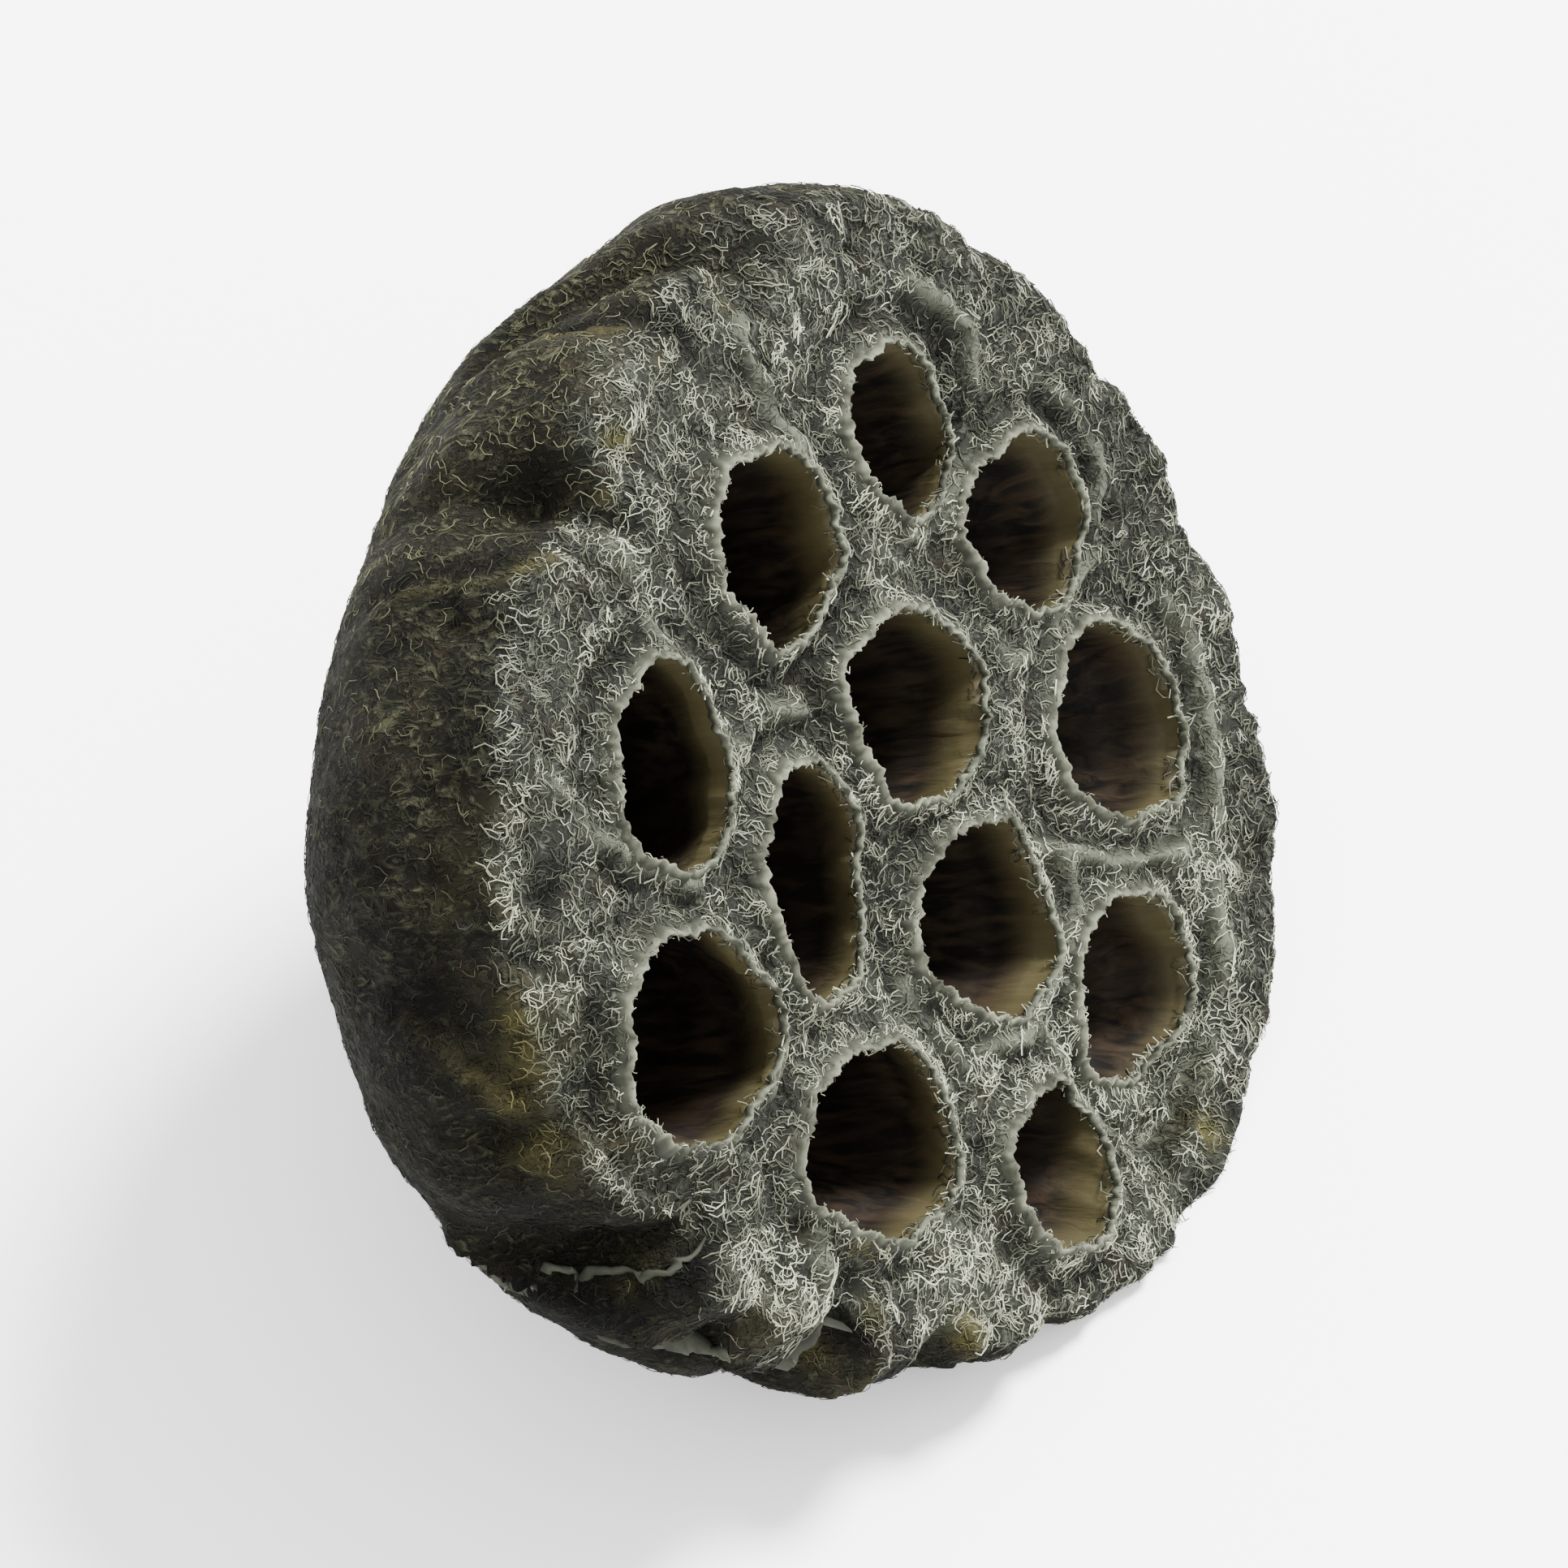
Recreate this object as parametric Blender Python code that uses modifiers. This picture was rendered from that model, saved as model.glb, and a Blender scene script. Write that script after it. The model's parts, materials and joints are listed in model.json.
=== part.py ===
"""A dried lotus pod, cut from its stem and lying on its flank.

The pod is one grown piece: a deep bowl with a nearly flat face, twelve empty seed
cells that open in the face, folds that run down from the rim and a short stub of stem.
It is modelled upright first, with its face at z = 0 and looking along +Z, and is then
laid down so that the face looks along -Y and upwards. Metres, +Z up.
"""

import math
import random

import bpy
from mathutils import Vector, noise

MM = 0.001

# How the pod lies: its axis rises this far above the table, on the side that it dried
# on. That side is flatter: it is pressed in beyond this distance from the face's middle.
AXIS_RISE = math.radians(33)
FLAT_SIDE = 28.0 * MM
BULGE_KEPT = 0.08
UP = Vector((0, math.cos(AXIS_RISE), math.sin(AXIS_RISE)))
ALONG = Vector((0, math.sin(AXIS_RISE), -math.cos(AXIS_RISE)))

# Low swellings on that side carry the pod, and are pressed flat where they meet the
# table: places across and along the side, in millimetres.
SWELLINGS = ((1.5, -13.0), (-8.0, 17.5), (8.0, 18.0))
SWELLING_HEIGHT = 3.0 * MM
SWELLING_RADIUS = 5.5 * MM
TABLE_BELOW_SIDE = 1.0 * MM

# The body: the outline of the face, the bowl below it and the stub of the cut stem. Rings
# are shares of the face's radius and of the bowl's depth.
FACE_RADIUS = 35.2 * MM
FACE_RINGS = (0, 0.16, 0.32, 0.46, 0.6, 0.72, 0.83, 0.91, 0.96)
FACE_DOME = 0.3 * MM
FACE_HILLS = 1.5 * MM
RIM_ROUND = 1.5 * MM
RIM_DROOP = 1.3 * MM
RIM_TILT_ANGLE = math.radians(130)
BOWL_RADIUS = 35.4 * MM
BOWL_START = 4.0 * MM
BOWL_DEPTH = 30.0 * MM
BOWL_RINGS = (0, 0.13, 0.26, 0.38, 0.5, 0.61, 0.71, 0.8, 0.88, 0.94)
BOWL_WRINKLES = 0.7 * MM
BULGE = 1.8 * MM
BULGE_ANGLE = math.radians(150)
STEM_RADIUS = 4.9 * MM
STEM_END = 37.5 * MM
BODY_STEPS = 108
SHARP_ANGLE = math.radians(28)

# The seed cells: place on the face, size across and along, and the turn of the size.
# Each is seen from the front, with +Y up the slope of the face. Sizes in millimetres.
CELL_TURN = math.radians(-40)
CELLS = (
    (15.9, 14.3, 10.0, 10.4),
    (1.9, 18.3, 10.8, 11.6),
    (20.4, 2.7, 11.0, 10.6),
    (17.5, -10.9, 12.6, 12.0),
    (4.2, 3.4, 11.8, 11.6),
    (-14.0, 15.7, 10.4, 12.8),
    (-9.9, 2.9, 9.8, 14.2),
    (-0.4, -9.8, 12.1, 11.8),
    (6.3, -22.1, 11.2, 11.4),
    (-24.0, 4.2, 12.6, 12.4),
    (-17.3, -11.1, 14.0, 11.4),
    (-7.0, -23.6, 9.6, 10.0),
)
CELL_SECTION = ((1.0, 0.02), (1.07, 0.22), (1.0, 0.5), (0.82, 0.76), (0.5, 0.93), (0.0, 1.0))
CELL_STEPS = 24
CELL_DEPTH_MIDDLE = 16 * MM
CELL_DEPTH_EDGE = 15.5 * MM
CUT_ABOVE_FACE = 5 * MM
# The cells lean towards the stem, and would meet this far below the face.
CELLS_MEET = 62 * MM
LIP_WIDTH = 1.7 * MM
LIP_HEIGHT = 0.7 * MM

# Folds that run down the flank from the rim: angle in degrees, half width in degrees
# and depth in millimetres. 0 is +X and 90 is up the slope of the face.
FOLDS = (
    (8, 4, 0.9),
    (28, 5, 0.8),
    (62, 5, 2.2),
    (82, 4, 1.0),
    (101, 6, 2.6),
    (121, 4, 1.3),
    (137, 4, 1.0),
    (151, 6, 2.8),
    (168, 4, 1.6),
    (187, 5, 3.4),
    (212, 5, 2.6),
    (228, 4, 1.8),
    (246, 4, 1.0),
    (268, 7, 1.2),
    (289, 4, 1.0),
    (307, 4, 1.8),
    (326, 5, 1.0),
    (345, 4, 1.2),
)
FOLDS_END = 19 * MM
RIB_COUNT = 23
RIB_HEIGHT = 0.35 * MM


def smooth_step(low, high, value):
    """0 below low, 1 above high and a smooth climb between them."""
    share = min(1.0, max(0.0, (value - low) / (high - low)))
    return share * share * (3 - 2 * share)


def mesh_object(name, points, edges, collection):
    """An object made of points and edges alone, for a modifier to turn or fill."""
    mesh = bpy.data.meshes.new(name)
    mesh.from_pydata(points, edges, [])
    made = bpy.data.objects.new(name, mesh)
    collection.objects.link(made)
    return made


def apply_modifiers(made):
    """The object's mesh becomes what its modifiers make of it."""
    bpy.context.view_layer.update()
    evaluated = made.evaluated_get(bpy.context.evaluated_depsgraph_get())
    mesh = bpy.data.meshes.new_from_object(evaluated)
    made.modifiers.clear()
    made.data = mesh


def turned(name, profile, steps, collection, closed=False):
    """A profile of (radius, height) points, turned round the Z axis by a Screw."""
    points = [(radius, 0, height) for radius, height in profile]
    edges = [(i, i + 1) for i in range(len(points) - 1)]
    if closed:
        edges.append((len(points) - 1, 0))
    made = mesh_object(name, points, edges, collection)
    screw = made.modifiers.new("turn", "SCREW")
    screw.steps = steps
    screw.render_steps = steps
    screw.use_merge_vertices = True
    screw.merge_threshold = 0.01 * MM
    apply_modifiers(made)
    return made


def outline_radius(angle):
    """The face isn't quite round: it is a little wider in three directions."""
    wider = 1.2 * math.cos(3 * angle - math.radians(141))
    return FACE_RADIUS + wider * MM


def fold_depth(angle):
    """How far the rim is drawn in by the folds, with small ribs between them."""
    drawn_in = 0.0
    for middle, half_width, depth in FOLDS:
        away = (math.degrees(angle) - middle + 180) % 360 - 180
        drawn_in += depth * MM * math.exp(-((away / half_width) ** 2))
    wobble = 0.9 * math.sin(2 * angle + 0.7) + 0.6 * math.sin(5 * angle + 2.1)
    return drawn_in - RIB_HEIGHT * math.cos(RIB_COUNT * angle + wobble)


def face_height(x, y):
    """The face is domed a little, and dried into soft hills and hollows."""
    share = math.hypot(x, y) / FACE_RADIUS
    hills = noise.noise(Vector((x, y, 0.3 * MM)) * 75) * FACE_HILLS
    return FACE_DOME * (1 - share * share) + hills * (1 - smooth_step(0.8, 1.0, share))


def rim_rise(share, angle):
    """The rim droops on the side that bulges, and stands up a little across from it."""
    return -RIM_DROOP * smooth_step(0.74, 1.0, share) * math.cos(angle - RIM_TILT_ANGLE)


def bowl_point(share):
    """A point of the bowl's section: nearly upright under the rim, then rounding in."""
    radius = BOWL_RADIUS * (1 - share**2.1) ** 0.8
    return (radius, -(BOWL_START + share * BOWL_DEPTH))


def bowl_middle(depth):
    """1 half way down the bowl and 0 at its ends."""
    share = min(1.0, max(0.0, (depth - BOWL_START) / BOWL_DEPTH))
    return math.sin(math.pi * share**0.7)


def body_profile():
    """The upright pod's section, from the middle of the face to the end of the stem."""
    profile = [(share * FACE_RADIUS, 0.0) for share in FACE_RINGS]
    profile.append((FACE_RADIUS + 0.3 * MM, -RIM_ROUND))
    profile += [bowl_point(share) for share in BOWL_RINGS]
    neck_depth = -profile[-1][1]
    profile.append((STEM_RADIUS, -neck_depth - 1.0 * MM))
    profile.append((STEM_RADIUS * 0.95, -STEM_END + 0.5 * MM))
    profile.append((STEM_RADIUS * 0.8, -STEM_END))
    profile.append((0, -STEM_END + 0.4 * MM))
    return profile


def shape_body(mesh):
    """Draws the turned body in at its folds and lets the face rise and fall."""
    for vertex in mesh.vertices:
        x, y, z = vertex.co
        radius, angle = math.hypot(x, y), math.atan2(y, x)
        share, depth = radius / FACE_RADIUS, -z
        on_face = depth < RIM_ROUND * 0.5
        if on_face:
            pull = smooth_step(0.6, 1.0, share)
        else:
            pull = 1.0 - smooth_step(2 * MM, FOLDS_END, depth)
        widening = (outline_radius(angle) - FACE_RADIUS) * smooth_step(0.1, 1.0, share)
        radius += widening - fold_depth(angle) * pull
        if depth > BOWL_START:
            radius += BULGE * max(0, math.cos(angle - BULGE_ANGLE)) * bowl_middle(depth)
            wrinkle = noise.noise(Vector((x, y, z * 0.5)) * 160)
            radius += wrinkle * BOWL_WRINKLES * min(1.0, share * 1.5)
        vertex.co.x = radius * math.cos(angle)
        vertex.co.y = radius * math.sin(angle)
        if on_face:
            vertex.co.z += face_height(vertex.co.x, vertex.co.y)
        if depth < BOWL_START:
            vertex.co.z += rim_rise(share, angle)


def flatten_side(mesh):
    """Flattens the side that the pod lies on, down to three low swellings."""
    for vertex in mesh.vertices:
        out = -UP.dot(vertex.co)
        if out < FLAT_SIDE * 0.6:
            continue
        flattened = min(out, FLAT_SIDE) + BULGE_KEPT * max(0, out - FLAT_SIDE)
        for across, along in SWELLINGS:
            gap_across = vertex.co.x - across * MM
            gap_along = ALONG.dot(vertex.co) - along * MM
            gap = math.hypot(gap_across, gap_along) / SWELLING_RADIUS
            flattened += SWELLING_HEIGHT * math.exp(-gap * gap)
        flattened = min(flattened, FLAT_SIDE + TABLE_BELOW_SIDE)
        vertex.co += (out - flattened) * UP


def cell_outline(cell, number, angle):
    """The radius of a cell's mouth: an oval with a few dents of its own."""
    across, along = cell[2] / 2 * MM, cell[3] / 2 * MM
    turned_angle = angle - CELL_TURN
    oval = across * along / math.hypot(
        along * math.cos(turned_angle), across * math.sin(turned_angle)
    )
    draw = random.Random(number)
    dents = 0.05 * math.cos(3 * angle + draw.uniform(0, 6.3))
    dents += 0.03 * math.cos(5 * angle + draw.uniform(0, 6.3))
    return oval * (1 + dents)


def cell_cutter(cell, number, collection):
    """The hollow of one seed cell, wider just below its lip and round at the bottom."""
    x, y = cell[0] * MM, cell[1] * MM
    far_out = math.hypot(x, y) / FACE_RADIUS
    depth = CELL_DEPTH_MIDDLE + (CELL_DEPTH_EDGE - CELL_DEPTH_MIDDLE) * far_out
    profile = [(0, CUT_ABOVE_FACE), (1, CUT_ABOVE_FACE)]
    profile += [(share, -sunk * depth) for share, sunk in CELL_SECTION]
    cutter = turned(f"cell_{number}", profile, CELL_STEPS, collection)
    top = face_height(x, y)
    for vertex in cutter.data.vertices:
        share, angle = math.hypot(vertex.co.x, vertex.co.y), math.atan2(vertex.co.y, vertex.co.x)
        radius = share * cell_outline(cell, number, angle)
        lean = 1 + min(vertex.co.z, 0) / CELLS_MEET
        vertex.co.x = x * lean + radius * math.cos(angle)
        vertex.co.y = y * lean + radius * math.sin(angle)
        vertex.co.z += top
    return cutter


def cell_lip(cell, number, collection):
    """The raised lip round a cell's mouth."""
    section = (
        (-0.5 * MM, -1.2 * MM),
        (-0.5 * MM, LIP_HEIGHT),
        (0.4 * MM, LIP_HEIGHT),
        (LIP_WIDTH, -0.8 * MM),
        (LIP_WIDTH, -1.2 * MM),
    )
    profile = [(1 + offset, height) for offset, height in section]
    lip = turned(f"lip_{number}", profile, CELL_STEPS, collection, closed=True)
    for vertex in lip.data.vertices:
        offset, angle = math.hypot(vertex.co.x, vertex.co.y) - 1, math.atan2(vertex.co.y, vertex.co.x)
        radius = cell_outline(cell, number, angle) + offset
        vertex.co.x = cell[0] * MM + radius * math.cos(angle)
        vertex.co.y = cell[1] * MM + radius * math.sin(angle)
        vertex.co.z += face_height(vertex.co.x, vertex.co.y)
    return lip


def join_or_cut(body, collection, operation):
    """One Boolean with all of a collection's objects, which are then removed."""
    boolean = body.modifiers.new(operation.lower(), "BOOLEAN")
    boolean.operation = operation
    boolean.operand_type = "COLLECTION"
    boolean.collection = collection
    boolean.solver = "EXACT"
    apply_modifiers(body)
    for made in list(collection.objects):
        bpy.data.objects.remove(made)
    bpy.data.collections.remove(collection)


def pod_material():
    """Grey-green dried skin, matt all over."""
    material = bpy.data.materials.new("dried_skin")
    material.use_nodes = True
    shader = material.node_tree.nodes["Principled BSDF"]
    shader.inputs["Base Color"].default_value = (0.085, 0.09, 0.068, 1)
    shader.inputs["Roughness"].default_value = 0.9
    shader.inputs["Metallic"].default_value = 0.0
    return material


def build_pod():
    scene_collection = bpy.context.scene.collection
    pod_collection = bpy.data.collections.new("lotus_pod")
    lips = bpy.data.collections.new("lips")
    cells = bpy.data.collections.new("cells")
    for collection in (pod_collection, lips, cells):
        scene_collection.children.link(collection)

    pod = turned("lotus_pod", body_profile(), BODY_STEPS, pod_collection)
    shape_body(pod.data)
    flatten_side(pod.data)
    for number, cell in enumerate(CELLS):
        cell_lip(cell, number, lips)
        cell_cutter(cell, number, cells)
    join_or_cut(pod, lips, "UNION")
    join_or_cut(pod, cells, "DIFFERENCE")

    pod.data.materials.clear()
    pod.data.materials.append(pod_material())
    pod.data.shade_smooth()
    pod.data.set_sharp_from_angle(angle=SHARP_ANGLE)
    return pod


def lay_down(pod):
    """Tips the pod onto its flank, with the origin on the table under its middle."""
    pod.rotation_euler = (math.pi / 2 - AXIS_RISE, 0, 0)
    bpy.context.view_layer.update()
    places = [pod.matrix_world @ vertex.co for vertex in pod.data.vertices]
    low = Vector(min(place[axis] for place in places) for axis in range(3))
    high = Vector(max(place[axis] for place in places) for axis in range(3))
    pod.location = (-(low.x + high.x) / 2, -(low.y + high.y) / 2, -low.z)


for old in list(bpy.data.objects):
    bpy.data.objects.remove(old)
lay_down(build_pod())
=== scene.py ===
"""A dried lotus pod, cut from its stem, lying on its flank on a plain pale floor.

The script follows the pod as it grew: the felted skin with its seed cells, the stub of
the stem, the short felt on it, and last the floor, the light and the camera.
Lengths are in millimetres until a mesh is placed; Blender's own unit is the metre.
"""

import json
import math

import bmesh
import bpy
import numpy as np
from mathutils import Euler, Matrix, Vector, noise
from mathutils.bvhtree import BVHTree

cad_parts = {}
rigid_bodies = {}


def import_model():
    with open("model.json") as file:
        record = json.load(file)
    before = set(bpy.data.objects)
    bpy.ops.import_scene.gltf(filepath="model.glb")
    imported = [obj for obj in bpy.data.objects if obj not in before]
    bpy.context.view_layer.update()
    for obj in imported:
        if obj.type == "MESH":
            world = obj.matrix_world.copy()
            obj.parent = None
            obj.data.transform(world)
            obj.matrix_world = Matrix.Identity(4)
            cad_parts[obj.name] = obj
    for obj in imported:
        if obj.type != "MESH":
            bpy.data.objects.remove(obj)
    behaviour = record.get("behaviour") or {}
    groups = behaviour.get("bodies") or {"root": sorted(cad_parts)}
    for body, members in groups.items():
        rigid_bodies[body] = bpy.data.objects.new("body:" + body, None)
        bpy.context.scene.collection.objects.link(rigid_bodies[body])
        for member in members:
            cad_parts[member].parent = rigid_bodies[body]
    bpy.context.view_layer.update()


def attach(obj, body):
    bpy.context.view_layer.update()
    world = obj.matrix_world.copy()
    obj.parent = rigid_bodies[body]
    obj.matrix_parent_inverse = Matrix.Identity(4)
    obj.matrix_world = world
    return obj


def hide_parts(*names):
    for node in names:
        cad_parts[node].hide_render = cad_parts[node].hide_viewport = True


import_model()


# The receptacle. On a real pod this is the swollen end of the flower's stem: spongy tissue
# under a thin skin that shrank into folds as it dried. It is one closed body, drawn as rings
# round its own axis: face at z = 0 looking along +Z, stem down, 90 degrees up the slope.

MM = 0.001
AXIS_RISE = math.radians(33)
POD_TURN = Euler((math.pi / 2 - AXIS_RISE, 0, 0)).to_matrix()
POD_PLACE = Vector((1.171, -6.940, 29.0))

FACE_RADIUS = 34.9
BOWL_RADIUS = 35.0
BOWL_START = 4.0
BOWL_DEPTH = 30.0
STEM_RADIUS = 4.8
STEM_END = 37.4
AROUND = 440

# Folds that run down from the rim: angle at the rim, drift in degrees for each millimetre
# down, half widths on the two sides in degrees, and depth. One side is steeper.
FOLDS = (
    (8, 0.0, 3, 4, 0.6),
    (28, 0.4, 4, 2, 0.9),
    (63, 2.0, 3, 7, 2.8),
    (82, 0.6, 4, 3, 1.0),
    (102, 0.2, 3, 6, 3.2),
    (119, -0.2, 5, 4, 0.8),
    (134, 0.5, 3, 5, 0.5),
    (152, 0.0, 5, 7, 1.0),
    (168, -0.3, 4, 3, 1.1),
    (176, 0.4, 3, 4, 0.8),
    (188, -0.6, 7, 2.6, 4.2),
    (200, -0.4, 4, 2, 1.4),
    (213, 0.1, 6, 3, 3.2),
    (229, 0.4, 4, 3, 2.0),
    (246, 0.2, 4, 3, 1.0),
    (268, 0.0, 3, 4, 0.5),
    (289, 0.2, 3, 4, 0.4),
    (307, 0.0, 3, 2, 0.4),
    (326, -0.2, 3, 4, 0.5),
    (345, 0.0, 2, 4, 0.6),
)

# Seed cells: place on the face, width across and along, seen from the front.
CELLS = (
    (15.9, 14.3, 10.0, 10.4),
    (1.9, 18.3, 10.8, 11.6),
    (20.4, 2.7, 11.0, 10.6),
    (17.5, -10.9, 12.6, 12.0),
    (4.2, 3.4, 11.8, 11.6),
    (-14.0, 15.7, 9.0, 12.3),
    (-9.9, 2.9, 9.8, 14.2),
    (-0.4, -9.8, 12.1, 11.8),
    (6.3, -22.1, 11.2, 11.4),
    (-24.0, 4.2, 12.6, 12.4),
    (-17.3, -11.1, 14.0, 11.4),
    (-7.0, -23.6, 9.6, 10.0),
)
CELL_TURN = math.radians(-40)

# Veins that stand up from the face where the skin shrank onto the tissue below.
VEINS = (
    (
        (26.7, -9.0), (25.4, -14.5), (22.1, -19.3), (16.2, -23.4), (12.9, -27.6), (8.7, -30.0),
        (4.0, -31.4),
    ),
    ((4.5, -7.4), (7.8, -12.1), (11.5, -16.8), (15.6, -19.7), (19.6, -20.6)),
    ((7.8, -12.1), (6.6, -15.0), (1.4, -16.4), (-3.0, -17.2)),
    ((3.5, 11.4), (5.5, 12.8), (7.7, 17.2), (8.6, 22.2), (9.9, 26.8), (13.0, 29.4)),
    ((-18.5, 0.3), (-22.0, -3.0), (-26.0, -3.4), (-29.6, -2.0)),
    ((-12.0, -18.4), (-15.3, -17.9), (-18.3, -20.9), (-21.1, -25.2)),
    ((-25.1, -10.9), (-26.8, -15.6), (-26.9, -18.3)),
    ((10.2, 2.3), (13.0, -1.5), (17.4, -3.8), (24.7, -3.2), (28.4, 1.0), (28.2, 6.0)),
    ((-2.6, 9.6), (-5.2, 12.2), (-8.6, 12.4), (-9.4, 20.4), (-6.6, 26.6)),
    ((-16.4, 6.4), (-18.0, 12.0), (-20.6, 16.4), (-21.0, 21.6)),
    ((-8.2, -7.6), (-8.4, -13.6), (-1.6, -17.4), (-0.8, -26.6), (2.8, -31.0)),
    ((11.6, 9.6), (14.6, 7.2), (22.0, 9.6), (25.6, 13.6), (23.6, 19.4)),
)

# Creases of the flank, where one fold lies over the next: the way that the surface falls
# off beyond the crest, half width, height and drop, and the crest's places.
CREASES = (
    (
        (1, 0, 0.3), 1.3, 1.1, 1.6,
        (
            (1.3, 34.0, -10.1), (2.2, 34.6, -7.6), (3.5, 34.3, -5.6),
            (4.1, 34.0, -2.8), (5.6, 30.7, -0.5),
        ),
    ),
    (
        (0.5, -1, 0), 1.5, 0.8, 0.3,
        (
            (5.6, 30.7, -0.5), (2.3, 30.7, -0.7), (-0.5, 30.6, -0.7),
            (-2.9, 30.0, -0.7), (-5.0, 28.6, -0.7),
        ),
    ),
    (
        (1, 0, 0), 0.9, 0.7, 0.8,
        ((8.9, 34.5, -2.2), (12.2, 32.4, -1.5), (14.7, 29.7, -0.7), (15.2, 27.9, -0.2)),
    ),
    (
        (1, 0, 0), 1.0, 0.7, 0.9,
        ((18.2, 29.8, -11.0), (18.8, 29.8, -7.0), (19.5, 29.8, -3.3), (19.2, 28.2, -0.6)),
    ),
    (
        (1, 0.4, 0), 1.2, 0.7, 0.8,
        (
            (-15.6, 31.6, -12.2), (-14.4, 31.2, -10.2), (-13.9, 31.4, -5.6),
            (-13.1, 30.9, -1.8), (-10.2, 29.1, -0.7),
        ),
    ),
    (
        (1, 0.4, 0), 1.4, 0.5, 0.6,
        ((-28.9, 21.6, -9.0), (-28.7, 21.0, -5.9), (-28.9, 17.6, -4.9), (-29.6, 15.3, -2.1)),
    ),
    (
        (0, 1, 0), 1.4, 0.6, 0.6,
        ((-32.6, 15.3, -8.3), (-34.0, 13.0, -5.7), (-34.4, 10.4, -3.3)),
    ),
    (
        (0, -1, 0), 0.8, 0.8, 0.6,
        ((-35.2, 8.2, -8.4), (-35.3, 7.0, -6.5), (-35.0, 6.2, -4.5), (-36.0, 4.9, -2.5)),
    ),
    (
        (0, -1, 0), 0.9, 2.0, 3.0,
        (
            (-34.5, -0.4, -14.5), (-35.0, -2.5, -10.5), (-34.2, -3.7, -7.8),
            (-33.2, -5.3, -5.4), (-32.8, -5.0, -2.1), (-30.6, -4.6, -0.6),
        ),
    ),
    (
        (0, -1, -0.2), 0.8, 1.5, 2.2,
        (
            (-33.7, -6.9, -8.2), (-33.8, -9.4, -5.1), (-33.0, -11.8, -3.4),
            (-30.4, -14.6, -3.6), (-28.2, -16.6, -2.6), (-26.6, -17.2, -0.6),
        ),
    ),
    (
        (0, -1, 0), 0.8, 0.8, 1.1,
        ((-26.6, -23.0, -5.5), (-26.2, -21.8, -2.4), (-25.6, -21.2, -0.9), (-24.8, -19.2, -0.3)),
    ),
    (
        (0.3, -1, 0), 0.8, 0.7, 0.9,
        ((-21.4, -28.4, -4.6), (-20.3, -26.9, -0.8), (-19.0, -25.4, 0.1), (-19.3, -22.8, -0.1)),
    ),
)

# Places near the rim where the skin dried straw-coloured, and how far that reaches.
STRAW = (
    ((11.9, 29.5, -0.2), 1.0),
    ((-1.8, 30.4, -0.7), 0.9),
    ((-32.2, 13.7, -1.9), 1.2),
    ((-33.7, 12.0, -1.9), 1.3),
    ((-34.2, 9.6, -3.2), 1.3),
    ((-34.7, 6.5, -3.4), 1.4),
    ((-36.3, 4.5, -2.6), 1.4),
    ((-33.2, -5.3, -5.0), 1.0),
    ((-32.6, -3.0, -1.5), 1.1),
    ((-27.0, -18.3, -4.0), 1.4),
    ((-32.6, -11.0, -0.9), 0.8),
    ((-19.8, -25.0, 0.1), 1.2),
    ((5.0, -33.0, 0.2), 1.1),
    ((-22.6, -14.4, 0.8), 0.9),
    ((-24.5, -17.8, 0.4), 0.8),
)

# Pits between the folds: place, size and depth.
PITS = (((-6.4, 31.2, -3.4), 2.1, 2.2), ((12.4, 29.4, -0.4), 1.4, 1.0), ((-25.4, 17.4, -1.2), 1.3, 0.7))


def smooth_step(low, high, value):
    """0 below low, 1 above high and a soft step between them."""
    share = np.clip((value - low) / (high - low), 0, 1)
    return share * share * (3 - 2 * share)


def noise_at(points, size):
    """Smooth noise from -1 to 1 whose lumps are about this many millimetres apart."""
    flat = points.reshape(-1, 3) / size
    values = [noise.noise(Vector(point)) for point in flat.tolist()]
    return np.array(values).reshape(points.shape[:-1])


def cell_outline(number, angle, ragged):
    """The radius of a cell's mouth: an oval with dents, and frayed by some tenths."""
    across, along = CELLS[number][2] / 2, CELLS[number][3] / 2
    turned = angle - CELL_TURN
    oval = across * along / np.hypot(along * np.cos(turned), across * np.sin(turned))
    rng = np.random.default_rng(40 + number)
    dents = ((3, 0.045), (5, 0.035), (8, 0.022))
    frays = ((13, 0.012 * ragged), (29, 0.014 * ragged), (47, 0.010 * ragged))
    for waves, size in dents + frays:
        oval = oval * (1 + size * np.cos(waves * angle + rng.uniform(0, 6.3)))
    return oval


def outside_cells(x, y):
    """How far a place on the face is from the nearest cell's edge; negative inside one."""
    nearest = np.full(x.shape, 99.0)
    for number, cell in enumerate(CELLS):
        away_x, away_y = x - cell[0], y - cell[1]
        edge = cell_outline(number, np.arctan2(away_y, away_x), 0)
        nearest = np.minimum(nearest, np.hypot(away_x, away_y) - edge)
    return nearest


def from_veins(x, y):
    """Distance from the nearest vein."""
    nearest = np.full(x.shape, 99.0)
    for vein in VEINS:
        for (ax, ay), (bx, by) in zip(vein, vein[1:]):
            length = math.hypot(bx - ax, by - ay)
            along = ((x - ax) * (bx - ax) + (y - ay) * (by - ay)) / length
            along = np.clip(along, 0, length)
            px, py = ax + (bx - ax) * along / length, ay + (by - ay) * along / length
            nearest = np.minimum(nearest, np.hypot(x - px, y - py))
    return nearest


def from_crest(points, places):
    """Distance from a crest and the offset from its nearest place."""
    nearest = np.full(points.shape[:-1], 99.0)
    offset = np.zeros(points.shape)
    for first, second in zip(places, places[1:]):
        first, second = np.array(first), np.array(second)
        run = second - first
        share = np.clip((points - first) @ run / (run @ run), 0, 1)
        away = points - first - share[..., None] * run
        closer = np.linalg.norm(away, axis=-1) < nearest
        nearest = np.where(closer, np.linalg.norm(away, axis=-1), nearest)
        offset = np.where(closer[..., None], away, offset)
    return nearest, offset


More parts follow.
